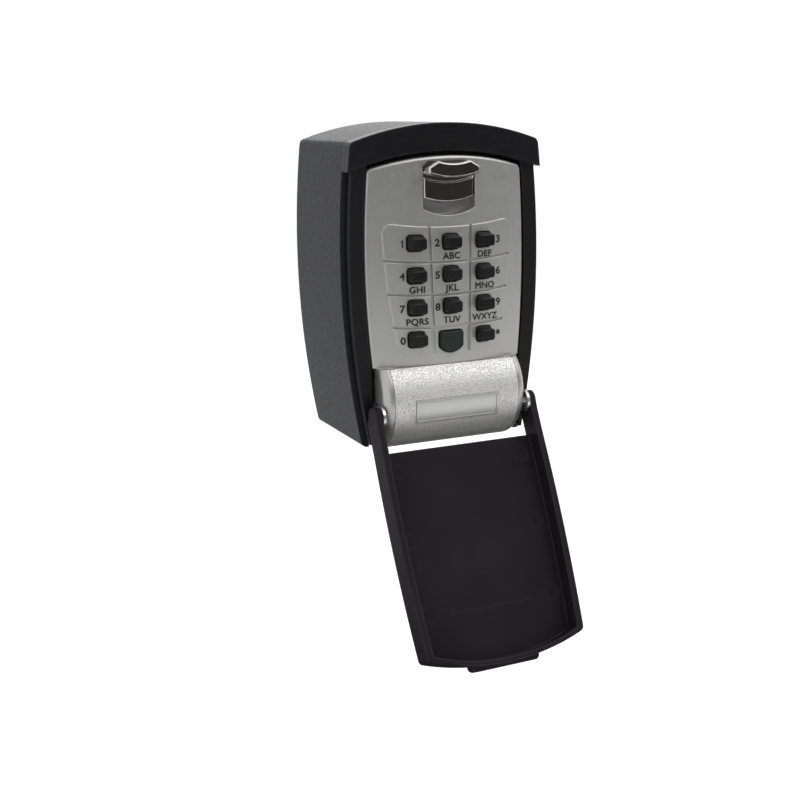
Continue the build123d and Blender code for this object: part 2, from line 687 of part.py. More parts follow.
with BuildPart() as door:
    # plate with a convex front
    with BuildSketch(Plane.XZ.offset(DOOR_REAR)):
        low_x = half_width(SEAM_Z) - DOOR_MARGIN
        top_x = half_width(39.0) - DOOR_MARGIN
        top_z = DOOR_CROWN - top_x**2 / (2 * DOOR_ARCH_R)
        mid_x = half_width(5) - DOOR_MARGIN
        with BuildLine():
            ThreePointArc((low_x, SEAM_Z), (mid_x, 5), (top_x, top_z))
            ThreePointArc((top_x, top_z), (0, DOOR_CROWN), (-top_x, top_z))
            ThreePointArc((-top_x, top_z), (-mid_x, 5), (-low_x, SEAM_Z))
            Line((-low_x, SEAM_Z), (low_x, SEAM_Z))
        make_face()
    extrude(amount=DOOR_FRONT_MID + 1 - DOOR_REAR)
    fillet(
        door.edges().filter_by(Axis.Y).filter_by_position(Axis.Z, 30, 60), 2.0
    )
    with BuildSketch(Plane.XY.offset(-60)):
        with Locations((0, DOOR_BULGE_R - DOOR_FRONT_MID)):
            Circle(DOOR_BULGE_R)
    extrude(amount=120, mode=Mode.INTERSECT)
    front_face = door.faces().sort_by(Axis.Y)[0]
    rim = [e for e in front_face.edges() if e.center().Z > SEAM_Z + 1]
    fillet(rim, 1.0)
    # lower barrel, one casting with the plate
    add(barrel.part)
    # seat for the textured cover
    with BuildSketch(Plane.YZ):
        with Locations((-50, -45)):
            Rectangle(26, 2 * (SEAM_Z + 45))
        with Locations((BARREL_Y, BARREL_Z)):
            Circle(BARREL_R - COVER_T, mode=Mode.SUBTRACT)
        with Locations((-40, -45)):
            Rectangle(5.9, 60, mode=Mode.SUBTRACT)
    extrude(amount=COVER_HALF + 0.15, both=True, mode=Mode.SUBTRACT)
    # hollow inside the barrel, open to the rear
    with BuildSketch(Plane.YZ):
        with Locations((BARREL_Y, BARREL_Z)):
            Circle(BARREL_R - COVER_T - 2.2)
        with Locations((-40, SEAM_Z - 2.4 + 20)):
            Rectangle(60, 40, mode=Mode.SUBTRACT)
    extrude(amount=22.0, both=True, mode=Mode.SUBTRACT)
    # walls of the box that holds the lock works
    with BuildSketch(Plane.XZ.offset(BOX_REAR)):
        with Locations((0, (BOX_TOP + BOX_BOTTOM) / 2)):
            RectangleRounded(2 * BOX_HALF, BOX_TOP - BOX_BOTTOM, 2.0)
    extrude(amount=DOOR_REAR - BOX_REAR + 0.5)
    with BuildSketch(Plane.XZ.offset(BOX_REAR - 1)):
        with Locations((0, (BOX_TOP + BOX_BOTTOM) / 2)):
            Rectangle(2 * (BOX_HALF - BOX_WALL), BOX_TOP - BOX_BOTTOM - 2 * BOX_WALL)
    extrude(amount=DOOR_PLATE_REAR - BOX_REAR + 1, mode=Mode.SUBTRACT)
    # block behind the thumb recess
    with BuildSketch(Plane.XZ.offset(DOOR_REAR)):
        with Locations((0, 29.0)):
            Rectangle(25, 15)
    extrude(amount=5.0)
    # corner bosses for the rear cover, posts for the guide plate
    with BuildSketch(Plane.XZ.offset(BOX_REAR)):
        with Locations(*COVER_SCREW_AT):
            Circle(2.6)
    extrude(amount=DOOR_PLATE_REAR - BOX_REAR + 0.2)
    with BuildSketch(Plane.XZ.offset(GUIDE_FRONT)):
        with Locations(*GUIDE_SCREW_AT):
            Circle(2.4)
    extrude(amount=DOOR_PLATE_REAR - GUIDE_FRONT + 0.2)
    # shelf under the latch spring
    with BuildSketch(Plane.XZ.offset(35.6)):
        with Locations((21.0, -12.9)):
            Rectangle(5.2, 1.6)
    extrude(amount=DOOR_PLATE_REAR - 35.6 + 0.2)
    add(keypad_pads.part)
    add(keypad_grooves.part, mode=Mode.SUBTRACT)
    # holes for the buttons
    with BuildSketch(Plane.XZ.offset(DOOR_REAR)):
        for name, key_x, key_z in KEYS:
            round_cell(key_x, key_z, COLLAR_WIDE + 0.6, COLLAR_HIGH + 0.6, 1.4)
        clear_cell(0.3)
    extrude(amount=14, mode=Mode.SUBTRACT)
    # thumb recess and the slot in its floor
    with BuildSketch(Plane.XZ.offset(46.3)):
        recess_outline(0)
    extrude(amount=8, mode=Mode.SUBTRACT)
    with BuildSketch(Plane.XZ.offset(DOOR_REAR - 1)):
        with Locations((0, 30.5)):
            Rectangle(6.6, 6.8)
    extrude(amount=6, mode=Mode.SUBTRACT)
    # slot in the box's top wall for the bolt
    with BuildSketch(Plane.XY.offset(BOX_TOP - BOX_WALL - 1)):
        with Locations((0, -37.6)):
            Rectangle(10.7, 2.7)
    extrude(amount=BOX_WALL + 2, mode=Mode.SUBTRACT)
    # screw holes and pin holes
    with BuildSketch(Plane.XZ.offset(BOX_REAR - 1)):
        with Locations(*COVER_SCREW_AT):
            Circle(1.02)
    extrude(amount=8, mode=Mode.SUBTRACT)
    with BuildSketch(Plane.XZ.offset(GUIDE_FRONT - 1)):
        with Locations(*GUIDE_SCREW_AT):
            Circle(0.97)
    extrude(amount=6, mode=Mode.SUBTRACT)
    with BuildSketch(Plane.YZ):
        with Locations((HINGE_Y, HINGE_Z)):
            Circle(PIN_R + 0.01)
    extrude(amount=40, both=True, mode=Mode.SUBTRACT)
export(door.part, "door")

# ----------------------------------------------- textured cover, name plate
PLATE_HALF = 16.2
PLATE_MID_ANGLE = 9.0      # below the barrel's front-most line
PLATE_SPAN = 13.5


def ring_band(r_in, r_out, mid_deg, span_deg):
    """Ring section about the barrel's axis, in (y, z), angle down from the front."""
    lo = radians(mid_deg - span_deg)
    hi = radians(mid_deg + span_deg)
    mid = radians(mid_deg)

    def at(r, a):
        return (BARREL_Y - r * cos(a), BARREL_Z - r * sin(a))

    make_face(
        [
            arc(at(r_out, lo), at(r_out, mid), at(r_out, hi)),
            arc(at(r_in, hi), at(r_in, mid), at(r_in, lo)),
        ]
        + chain(at(r_out, hi), at(r_in, hi))
        + chain(at(r_in, lo), at(r_out, lo))
    )


with BuildPart() as barrel_cover:
    inner = BARREL_R - COVER_T
    with BuildSketch(Plane.YZ):
        with BuildLine():
            ThreePointArc(
                (circle_y(SEAM_Z - 0.1, BARREL_R), SEAM_Z - 0.1),
                (BARREL_Y - BARREL_R, BARREL_Z),
                (BARREL_REAR, circle_z(BARREL_REAR, BARREL_R)),
            )
            Line(
                (BARREL_REAR, circle_z(BARREL_REAR, BARREL_R)),
                (BARREL_REAR, circle_z(BARREL_REAR, inner)),
            )
            ThreePointArc(
                (BARREL_REAR, circle_z(BARREL_REAR, inner)),
                (BARREL_Y - inner, BARREL_Z),
                (circle_y(SEAM_Z - 0.1, inner), SEAM_Z - 0.1),
            )
            Line(
                (circle_y(SEAM_Z - 0.1, inner), SEAM_Z - 0.1),
                (circle_y(SEAM_Z - 0.1, BARREL_R), SEAM_Z - 0.1),
            )
        make_face()
    extrude(amount=COVER_HALF, both=True)
    with BuildSketch(Plane.YZ):
        ring_band(BARREL_R - 0.7, BARREL_R + 2, PLATE_MID_ANGLE, PLATE_SPAN)
    extrude(amount=PLATE_HALF, both=True, mode=Mode.SUBTRACT)
export(barrel_cover.part, "barrel_cover")

with BuildPart() as name_plate:
    with BuildSketch(Plane.YZ):
        ring_band(BARREL_R - 0.7, BARREL_R + 0.3, PLATE_MID_ANGLE, PLATE_SPAN - 0.2)
    extrude(amount=PLATE_HALF - 0.05, both=True)
    with BuildSketch(Plane.YZ):
        ring_band(BARREL_R - 0.1, BARREL_R + 2, PLATE_MID_ANGLE, PLATE_SPAN - 2.6)
    extrude(amount=PLATE_HALF - 0.9, both=True, mode=Mode.SUBTRACT)
export(name_plate.part, "name_plate")

with BuildPart() as hinge_pins:
    for side in (1, -1):
        with BuildSketch(Plane.YZ.offset(side * PIN_START)):
            with Locations((HINGE_Y, HINGE_Z)):
                Circle(PIN_R)
        extrude(amount=side * (ARM_IN + PIN_IN_ARM - PIN_START))
    chamfer(hinge_pins.edges().filter_by(GeomType.CIRCLE), 0.2)
export(hinge_pins.part, "hinge_pins")

# ------------------------------------------------------------ thumb lever
LEVER_HALF = 9.55
LEVER_DIP = 1.7            # every cross edge of the lever dips this much mid-way
FOOT_FRONT = 51.2
FOOT_T = 1.8
FOOT_LOW = 29.0
FOOT_TOP = 36.0
NECK_BACK = 0.9            # the neck stands this far behind the foot's face
TAB_FRONT = 56.0
TAB_T = 1.6
TAB_LOW = 37.5
TAB_SIDE = 39.5
TAB_TOP = 41.5
TAB_CORNER_X = 6.0
LEVER_LEFT = KEYPAD_X - LEVER_HALF
LEVER_RIGHT = KEYPAD_X + LEVER_HALF


def dipped_band(low, top):
    """Band across the lever between two dipped edges."""
    make_face(
        [
            arc((LEVER_RIGHT, low), (KEYPAD_X, low - LEVER_DIP), (LEVER_LEFT, low)),
            arc((LEVER_LEFT, top), (KEYPAD_X, top - LEVER_DIP), (LEVER_RIGHT, top)),
        ]
        + chain((LEVER_LEFT, low), (LEVER_LEFT, top))
        + chain((LEVER_RIGHT, top), (LEVER_RIGHT, low))
    )


with BuildPart() as latch_lever:
    with BuildSketch(Plane.XZ.offset(FOOT_FRONT - FOOT_T)):
        dipped_band(FOOT_LOW, FOOT_TOP)
    extrude(amount=FOOT_T)
    chamfer(latch_lever.faces().sort_by(Axis.Y)[0].edges(), 0.45)
    with BuildSketch(Plane.XZ.offset(TAB_FRONT - TAB_T)):
        tab_right = KEYPAD_X + TAB_CORNER_X
        tab_left = KEYPAD_X - TAB_CORNER_X
        make_face(
            [
                arc(
                    (LEVER_RIGHT, TAB_LOW),
                    (KEYPAD_X, TAB_LOW - LEVER_DIP),
                    (LEVER_LEFT, TAB_LOW),
                ),
                arc((tab_left, TAB_TOP), (KEYPAD_X, TAB_TOP - 0.9), (tab_right, TAB_TOP)),
            ]
            + chain((LEVER_LEFT, TAB_LOW), (LEVER_LEFT, TAB_SIDE), (tab_left, TAB_TOP))
            + chain((tab_right, TAB_TOP), (LEVER_RIGHT, TAB_SIDE), (LEVER_RIGHT, TAB_LOW))
        )
    extrude(amount=TAB_T)
    chamfer(latch_lever.faces().sort_by(Axis.Y)[0].edges(), 0.45)
    # neck up behind the tab, and the web that carries the tab
    with BuildSketch(Plane.XZ.offset(FOOT_FRONT - FOOT_T)):
        dipped_band(FOOT_TOP - 1.0, TAB_LOW + 1.6)
    extrude(amount=FOOT_T - NECK_BACK)
    with BuildSketch(Plane.XZ.offset(FOOT_FRONT - FOOT_T)):
        dipped_band(TAB_LOW + 0.4, TAB_LOW + 1.6)
    extrude(amount=TAB_FRONT - TAB_T - FOOT_FRONT + FOOT_T + 0.3)
    # stem to the gate plate
    with BuildSketch(Plane.XZ.offset(GATE_FRONT)):
        with Locations((0, LEVER_STEM_Z)):
            Rectangle(6.0, 2.6)
    extrude(amount=FOOT_FRONT - FOOT_T - GATE_FRONT + 0.4)
    with BuildSketch(Plane.XZ.offset(GATE_FRONT)):
        with Locations((0, LEVER_STEM_Z)):
            Circle(0.82)
    extrude(amount=5.0, mode=Mode.SUBTRACT)
export(latch_lever.part, "latch_lever")

with BuildPart() as latch_screw:
    pan_screw(0, LEVER_STEM_Z, GATE_BACK, 1.6, 0.9, 0.8, 5.4, 1)
export(latch_screw.part, "latch_screw")

# ------------------------------------------------------- gate plate and bolt
with BuildPart() as gate_plate:
    with BuildSketch(Plane.XZ.offset(GATE_BACK)):
        with Locations((0, (GATE_TOP + GATE_BOTTOM) / 2)):
            Rectangle(2 * GATE_HALF, GATE_TOP - GATE_BOTTOM)
        # ear that the latch spring lifts
        with Locations((19.8, 8.0)):
            Rectangle(5.0, 4.0)
        for name, key_x, key_z in KEYS:
            with Locations((key_x, key_z + LATCH_TRAVEL / 2)):
                Rectangle(2 * STEM_R + 0.7, 2 * STEM_R + 0.7 + LATCH_TRAVEL, mode=Mode.SUBTRACT)
        with Locations((KEYPAD_X, -19.5)):
            Rectangle(4.1, 8.4, mode=Mode.SUBTRACT)
        with Locations((0, LEVER_STEM_Z)):
            Circle(0.9, mode=Mode.SUBTRACT)
    extrude(amount=GATE_FRONT - GATE_BACK)
export(gate_plate.part, "gate_plate")

with BuildPart() as latch_bolt:
    with BuildSketch(Plane.XZ.offset(36.4)):
        with Locations((0, 36.05)):
            Rectangle(10.0, 12.9)
        with Locations((0, LEVER_STEM_Z)):
            Circle(2.0, mode=Mode.SUBTRACT)
    extrude(amount=1.0)
    chamfer(latch_bolt.edges().group_by(Axis.Z)[-1].sort_by(Axis.Y)[-1], 0.6)
export(latch_bolt.part, "latch_bolt")


def coil(radius, wire, height, turns):
    """Open coil of round wire standing on the origin, along +Z."""
    path = Helix(pitch=height / turns, height=height, radius=radius)
    start = Plane(origin=path @ 0, z_dir=path % 0)
    return sweep(start * Circle(wire), path=path)


LATCH_COIL = coil(1.5, 0.3, 17.2, 8)
BUTTON_COIL = coil(2.5, 0.25, 4.8, 3)

with BuildPart() as latch_spring:
    add(Pos(20.4, -38.0, -11.6) * LATCH_COIL)
export(latch_spring.part, "latch_spring")

# ------------------------------------------------------------ guide and cover
with BuildPart() as guide_plate:
    with BuildSketch(Plane.XZ.offset(GUIDE_BACK)):
        with Locations((0, 4.4)):
            Rectangle(35.4, 61.4)
        with Locations((0, 18.0), (0, -18.4)):
            Rectangle(45.8, 5.6)
        for name, key_x, key_z in KEYS:
            with Locations((key_x, key_z)):
                Circle(STEM_R + 0.06, mode=Mode.SUBTRACT)
        with Locations((KEYPAD_X, CLEAR_Z)):
            Circle(STEM_R + 0.06, mode=Mode.SUBTRACT)
        with Locations((0, 30.5)):
            Rectangle(6.8, 7.2, mode=Mode.SUBTRACT)
        with Locations(*GUIDE_SCREW_AT):
            Circle(1.1, mode=Mode.SUBTRACT)
    extrude(amount=GUIDE_FRONT - GUIDE_BACK)
export(guide_plate.part, "guide_plate")

with BuildPart() as guide_screws:
    for gx, gz in GUIDE_SCREW_AT:
        pan_screw(gx, gz, GUIDE_BACK, 1.7, 1.0, 0.95, 5.5, 1)
export(guide_screws.part, "guide_screws")

with BuildPart() as rear_cover:
    with BuildSketch(Plane.XZ.offset(BOX_REAR - COVER_PLATE_T)):
        with Locations((0, (BOX_TOP + BOX_BOTTOM) / 2)):
            RectangleRounded(2 * BOX_HALF, BOX_TOP - BOX_BOTTOM, 2.0)
        for name, key_x, key_z in KEYS:
            with Locations((key_x, key_z)):
                Circle(STEM_R + 0.35, mode=Mode.SUBTRACT)
        with Locations(*COVER_SCREW_AT):
            Circle(1.15, mode=Mode.SUBTRACT)
    extrude(amount=COVER_PLATE_T)
export(rear_cover.part, "rear_cover")

with BuildPart() as cover_screws:
    for cx, cz in COVER_SCREW_AT:
        pan_screw(cx, cz, BOX_REAR - COVER_PLATE_T, 1.9, 1.1, 1.0, 6.4, 1)
export(cover_screws.part, "cover_screws")

# -------------------------------------------------------- buttons and springs
FLANGE_FRONT = 46.5
FLANGE_BACK = 45.5
STEM_END = 31.4

for name, key_x, key_z in KEYS:
    face = door_front(key_x)
    with BuildPart() as button:
        with BuildSketch(Plane.XZ.offset(FLANGE_BACK)):
            round_cell(key_x, key_z, COLLAR_WIDE, COLLAR_HIGH, 1.1)
        extrude(amount=face + COLLAR_OUT - FLANGE_BACK)
        chamfer(button.faces().sort_by(Axis.Y)[0].edges(), 0.35)
        with BuildSketch(Plane.XZ.offset(FLANGE_BACK)):
            round_cell(key_x, key_z, CAP_WIDE, CAP_HIGH, 1.0)
        extrude(amount=face + CAP_OUT - FLANGE_BACK)
        fillet(button.faces().sort_by(Axis.Y)[0].edges(), 0.7)
        with BuildSketch(Plane.XZ.offset(FLANGE_BACK)):
            round_cell(key_x, key_z, COLLAR_WIDE + 1.8, COLLAR_HIGH + 1.8, 1.0)
        extrude(amount=FLANGE_FRONT - FLANGE_BACK)
        with BuildSketch(Plane.XZ.offset(STEM_END)):
            with Locations((key_x, key_z)):
                Circle(STEM_R)
        extrude(amount=FLANGE_BACK - STEM_END)
        with BuildSketch(Plane.XZ.offset(STEM_END)):
            with Locations((key_x, key_z)):
                Circle(1.01)
        extrude(amount=4.0, mode=Mode.SUBTRACT)
    export(button.part, "button_" + name)
    with BuildPart() as code_screw:
        with BuildSketch(Plane.XZ.offset(STEM_END)):
            with Locations((key_x, key_z)):
                Circle(1.0)
        extrude(amount=3.9)
        with BuildSketch(Plane.XZ.offset(STEM_END)):
            with Locations((key_x, key_z)):
                Rectangle(2.4, 0.4)
        extrude(amount=0.6, mode=Mode.SUBTRACT)
    export(code_screw.part, "code_screw_" + name)

with BuildPart() as clear_button:
    with BuildSketch(Plane.XZ.offset(FLANGE_BACK)):
        clear_cell(0)
    extrude(amount=DOOR_FRONT_MID + 1.5 - FLANGE_BACK)
    fillet(clear_button.edges().filter_by(Axis.Y), 0.9)
    chamfer(clear_button.faces().sort_by(Axis.Y)[0].edges(), 0.4)
    with BuildSketch(Plane.XZ.offset(FLANGE_BACK)):
        clear_cell(0.85)
    extrude(amount=FLANGE_FRONT - FLANGE_BACK)
    with BuildSketch(Plane.XZ.offset(36.2)):
        with Locations((KEYPAD_X, CLEAR_Z)):
            Circle(STEM_R)
    extrude(amount=FLANGE_BACK - 36.2)
export(clear_button.part, "button_clear")

with BuildPart() as button_springs:
    for name, key_x, key_z in KEYS + [("clear", KEYPAD_X, CLEAR_Z)]:
        add(Pos(key_x, -GUIDE_FRONT - 0.32, key_z) * Rot(90, 0, 0) * BUTTON_COIL)
export(button_springs.part, "button_springs")
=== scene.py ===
import bmesh
import bpy
import json
from math import cos, radians, sin
from mathutils import Matrix, Vector
from mathutils.bvhtree import BVHTree


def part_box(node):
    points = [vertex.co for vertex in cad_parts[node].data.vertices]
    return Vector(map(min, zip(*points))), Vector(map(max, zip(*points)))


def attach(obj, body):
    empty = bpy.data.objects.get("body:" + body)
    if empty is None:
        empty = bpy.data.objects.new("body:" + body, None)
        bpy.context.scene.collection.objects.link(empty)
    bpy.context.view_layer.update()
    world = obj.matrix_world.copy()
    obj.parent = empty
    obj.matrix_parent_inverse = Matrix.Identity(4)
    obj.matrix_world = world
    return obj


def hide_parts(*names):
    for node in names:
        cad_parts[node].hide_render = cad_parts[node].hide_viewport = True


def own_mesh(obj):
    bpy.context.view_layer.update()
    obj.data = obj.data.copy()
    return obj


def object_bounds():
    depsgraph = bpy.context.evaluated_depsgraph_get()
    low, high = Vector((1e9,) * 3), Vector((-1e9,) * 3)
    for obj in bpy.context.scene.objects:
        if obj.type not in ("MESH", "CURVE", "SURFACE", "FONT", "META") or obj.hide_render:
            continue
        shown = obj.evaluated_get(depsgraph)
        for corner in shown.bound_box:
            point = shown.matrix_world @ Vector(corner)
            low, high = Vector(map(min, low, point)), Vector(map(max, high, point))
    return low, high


# Wall-mounted push-button key lock box, at rest with its weather flap hanging open.
# Metres, +X to the right, +Y into the wall, +Z up.
MM = 0.001
INWARD = Vector((0, 1, 0))
DIGITS = "1234567890"

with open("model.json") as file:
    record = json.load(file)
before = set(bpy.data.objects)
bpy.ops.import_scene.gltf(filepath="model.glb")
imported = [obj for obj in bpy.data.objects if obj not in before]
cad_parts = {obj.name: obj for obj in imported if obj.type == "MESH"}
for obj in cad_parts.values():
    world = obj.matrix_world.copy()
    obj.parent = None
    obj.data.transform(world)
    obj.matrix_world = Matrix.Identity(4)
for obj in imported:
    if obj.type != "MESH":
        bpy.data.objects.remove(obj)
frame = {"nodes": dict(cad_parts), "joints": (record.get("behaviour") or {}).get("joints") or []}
nodes = frame["nodes"]
joints = {j["name"]: j for j in frame["joints"]}
cad_lo, cad_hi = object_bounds()


def centre(node):
    """X and Z of the middle of a CAD node's box."""
    lo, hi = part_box(node)
    return (lo.x + hi.x) / 2, (lo.z + hi.z) / 2


def mesh_of(name, bm):
    """Turns a bmesh into a mesh, and frees it."""
    mesh = bpy.data.meshes.new(name)
    bm.to_mesh(mesh)
    bm.free()
    return mesh


def add_object(name, data):
    """Puts a new object with this data into the scene."""
    obj = bpy.data.objects.new(name, data)
    bpy.context.scene.collection.objects.link(obj)
    return obj


def aim_at(obj, place, target):
    """Stands an object at place with its -Z axis towards target."""
    obj.location = place
    obj.rotation_mode = "QUATERNION"
    obj.rotation_quaternion = (Vector(target) - Vector(place)).to_track_quat("-Z", "Y")


# ---------------------------------------------------------------- camera
CAMERA_AZIMUTH = -25.61        # degrees, 0 looks along +Y
CAMERA_ELEVATION = 13.03
CAMERA_ROLL = -0.63
CAMERA_DISTANCE = 460 * MM
CAMERA_LENS = 57.08            # mm, on the sensor below
CAMERA_SENSOR = 36
CAMERA_SHIFT = -0.05           # the object stands right of the picture's middle
CAMERA_CLIP = (0.01, 50)
AIM_FROM_HINGE = Vector((0.2, 11.9, 0.7)) * MM


def place_camera():
    a, e, r = radians(CAMERA_AZIMUTH), radians(CAMERA_ELEVATION), radians(CAMERA_ROLL)
    back = Vector((sin(a) * cos(e), -cos(a) * cos(e), sin(e)))
    right = Vector((cos(a), sin(a), 0))
    up = back.cross(right)
    turned_right = right * cos(r) + up * sin(r)
    turned_up = up * cos(r) - right * sin(r)
    aim = Vector(joints["door_hinge"]["pos_m"]) + AIM_FROM_HINGE
    data = bpy.data.cameras.new("camera")
    data.sensor_width = CAMERA_SENSOR
    data.lens = CAMERA_LENS
    data.shift_x = CAMERA_SHIFT
    data.clip_start, data.clip_end = CAMERA_CLIP
    camera = add_object("camera", data)
    turn = Matrix((turned_right, turned_up, back)).transposed().to_4x4()
    camera.matrix_world = Matrix.Translation(aim + back * CAMERA_DISTANCE) @ turn
    bpy.context.scene.camera = camera


place_camera()

# ------------------------------------------------------------ node helpers
BEVEL_SAMPLES = 6
EDGE_LOW, EDGE_HIGH = 0.004, 0.10    # how far a rounded normal leans where an edge starts, is full


class Surface:
    """A Principled material with helpers that put procedural nodes in front of it."""

    def __init__(self, name, **sockets):
        self.material = bpy.data.materials.new(name)
        self.material.use_nodes = True
        self.tree = self.material.node_tree
        self.tree.nodes.clear()
        out = self.tree.nodes.new("ShaderNodeOutputMaterial")
        self.shader = self.tree.nodes.new("ShaderNodeBsdfPrincipled")
        self.link(self.shader.outputs["BSDF"], out.inputs["Surface"])
        self.place = self.tree.nodes.new("ShaderNodeTexCoord").outputs["Object"]
        for socket, value in sockets.items():
            self.shader.inputs[socket.replace("_", " ")].default_value = value

    def link(self, a, b):
        self.tree.links.new(a, b)

    def feed(self, socket, value):
        """Connects a node output to an input, or sets the input's own value."""
        if isinstance(value, bpy.types.NodeSocket):
            self.link(value, socket)
        elif isinstance(value, tuple) and len(value) == 3 and socket.type == "RGBA":
            socket.default_value = (*value, 1)
        else:
            socket.default_value = value

    def set(self, socket, value):
        self.feed(self.shader.inputs[socket], value)

    def stretched(self, scale):
        """Object coordinates scaled differently along X, Y and Z."""
        node = self.tree.nodes.new("ShaderNodeMapping")
        self.link(self.place, node.inputs["Vector"])
        node.inputs["Scale"].default_value = scale
        return node.outputs["Vector"]

    def noise(self, scale, detail=3.0, roughness=0.55, place=None):
        """Noise round 0.5, with scale features per metre."""
        node = self.tree.nodes.new("ShaderNodeTexNoise")
        self.link(place or self.place, node.inputs["Vector"])
        node.inputs["Scale"].default_value = scale
        node.inputs["Detail"].default_value = detail
        node.inputs["Roughness"].default_value = roughness
        return node.outputs["Fac"]

    def cells(self, scale, smooth=None):
        """Distance to the nearest of scattered points, rounded off where smooth is given."""
        node = self.tree.nodes.new("ShaderNodeTexVoronoi")
        self.link(self.place, node.inputs["Vector"])
        node.inputs["Scale"].default_value = scale
        if smooth is not None:
            node.feature = "SMOOTH_F1"
            node.inputs["Smoothness"].default_value = smooth
        return node.outputs["Distance"]

    def spread(self, value, low, high, to_low=0.0, to_high=1.0):
        """Maps low..high of a value to to_low..to_high, and holds it there."""
        node = self.tree.nodes.new("ShaderNodeMapRange")
        self.feed(node.inputs["Value"], value)
        node.inputs["From Min"].default_value = low
        node.inputs["From Max"].default_value = high
        node.inputs["To Min"].default_value = to_low
        node.inputs["To Max"].default_value = to_high
        return node.outputs["Result"]

    def cloud(self, scale, detail=3.0, to_low=0.0, to_high=1.0):
        """Noise spread over the whole range from to_low to to_high."""
        return self.spread(self.noise(scale, detail), 0.3, 0.7, to_low, to_high)

    def math(self, operation, a, b):
        node = self.tree.nodes.new("ShaderNodeMath")
        node.operation = operation
        self.feed(node.inputs[0], a)
        self.feed(node.inputs[1], b)
        return node.outputs["Value"]

    def product(self, a, b):
        return self.math("MULTIPLY", a, b)

    def mix(self, amount, a, b):
        """Colour a where amount is 0, and b where it is 1."""
        node = self.tree.nodes.new("ShaderNodeMix")
        node.data_type = "RGBA"
        self.feed(node.inputs["Factor"], amount)
        self.feed(node.inputs["A"], a)
        self.feed(node.inputs["B"], b)
        return node.outputs["Result"]

    def soft_edges(self, radius):
        """Normals that round every sharp edge over, as a cast or moulded part has them."""
        node = self.tree.nodes.new("ShaderNodeBevel")
        node.samples = BEVEL_SAMPLES
        node.inputs["Radius"].default_value = radius
        return node.outputs["Normal"]

    def edge_mask(self, rounded):
        """1 along edges, where the rounded normal leaves the face's own."""
        geometry = self.tree.nodes.new("ShaderNodeNewGeometry")
        dot = self.tree.nodes.new("ShaderNodeVectorMath")
        dot.operation = "DOT_PRODUCT"
        self.link(rounded, dot.inputs[0])
        self.link(geometry.outputs["Normal"], dot.inputs[1])
        lean = self.math("SUBTRACT", 1.0, dot.outputs["Value"])
        return self.spread(lean, EDGE_LOW, EDGE_HIGH)

    def bump(self, height, distance, strength=1.0, normal=None):
        """Normals of a surface that rises by distance where height is 1."""
        node = self.tree.nodes.new("ShaderNodeBump")
        node.inputs["Strength"].default_value = strength
        node.inputs["Distance"].default_value = distance
        self.link(height, node.inputs["Height"])
        if normal is not None:
            self.link(normal, node.inputs["Normal"])
        return node.outputs["Normal"]


def dress(obj, surface):
    """Gives every material slot of an object this surface."""
    if not obj.material_slots:
        obj.data.materials.append(surface.material)
    for slot in obj.material_slots:
        slot.material = surface.material


# --------------------------------------------------------------- surfaces


def powder_coat():
    """Charcoal powder coat: fine orange peel, tone that varies in patches, edges a little worn."""
    s = Surface("charcoal_powder_coat", Specular_IOR_Level=0.17)
    rounded = s.soft_edges(0.5 * MM)
    wear = s.product(s.edge_mask(rounded), s.spread(s.noise(260), 0.45, 0.75))
    tone = s.mix(s.cloud(45, 4), (0.0105, 0.011, 0.0135), (0.015, 0.0155, 0.018))
    s.set("Base Color", s.mix(wear, tone, (0.045, 0.045, 0.048)))
    s.set("Roughness", s.cloud(900, 2, 0.44, 0.56))
    peel = s.bump(s.noise(1300, 2, 0.4), 0.05 * MM, 0.55, rounded)
    s.set("Normal", s.bump(s.noise(5200, 1), 0.01 * MM, 0.4, peel))
    return s


def black_moulding(name, low, high, grain, gloss, specular):
    """Black moulded plastic with a spark-eroded grain, from colour low to high in patches."""
    s = Surface(name, Specular_IOR_Level=specular)
    rounded = s.soft_edges(0.9 * MM)
    scuffs = s.spread(s.noise(70, 6, 0.75, s.stretched((1, 1, 5))), 0.62, 0.8)
    tone = s.mix(s.cloud(38, 4), low, high)
    tone = s.mix(s.product(scuffs, 0.25), tone, (0.020, 0.020, 0.022))
    # painted highlight: the edges' colour is lifted to three times the high colour, standing in
    # for the light the rounded edges catch
    painted_highlight_edge = s.product(s.edge_mask(rounded), 0.6)
    s.set("Base Color", s.mix(painted_highlight_edge, tone, tuple(3 * c for c in high)))
    s.set("Roughness", s.cloud(650, 3, gloss - 0.05, gloss + 0.07))
    s.set("Normal", s.bump(s.noise(grain, 2, 0.6), 0.02 * MM, 0.5, rounded))
    return s


def silver_paint():
    """Silver lacquer over a zinc casting: fine metal flake, and a painted highlight along the
    edges.
    """
    s = Surface("silver_lacquer", Metallic=0.82, Coat_Weight=0.15, Coat_Roughness=0.25)
    rounded = s.soft_edges(0.45 * MM)
    flake = s.spread(s.cells(6500), 0.15, 0.6)
    tone = s.mix(s.cloud(60, 4), (0.345, 0.34, 0.335), (0.385, 0.38, 0.375))
    tone = s.mix(s.product(flake, 0.35), tone, (0.54, 0.54, 0.54))
    # painted highlight: the edges are lightened towards 0.72, standing in for the light the
    # rounded edges catch
    painted_highlight_edge = s.product(s.edge_mask(rounded), 0.25)
    s.set("Base Color", s.mix(painted_highlight_edge, tone, (0.72, 0.72, 0.71)))
    s.set("Roughness", s.cloud(700, 3, 0.34, 0.42))
    s.set("Normal", s.bump(s.noise(5000, 2), 0.008 * MM, 0.5, rounded))
    return s


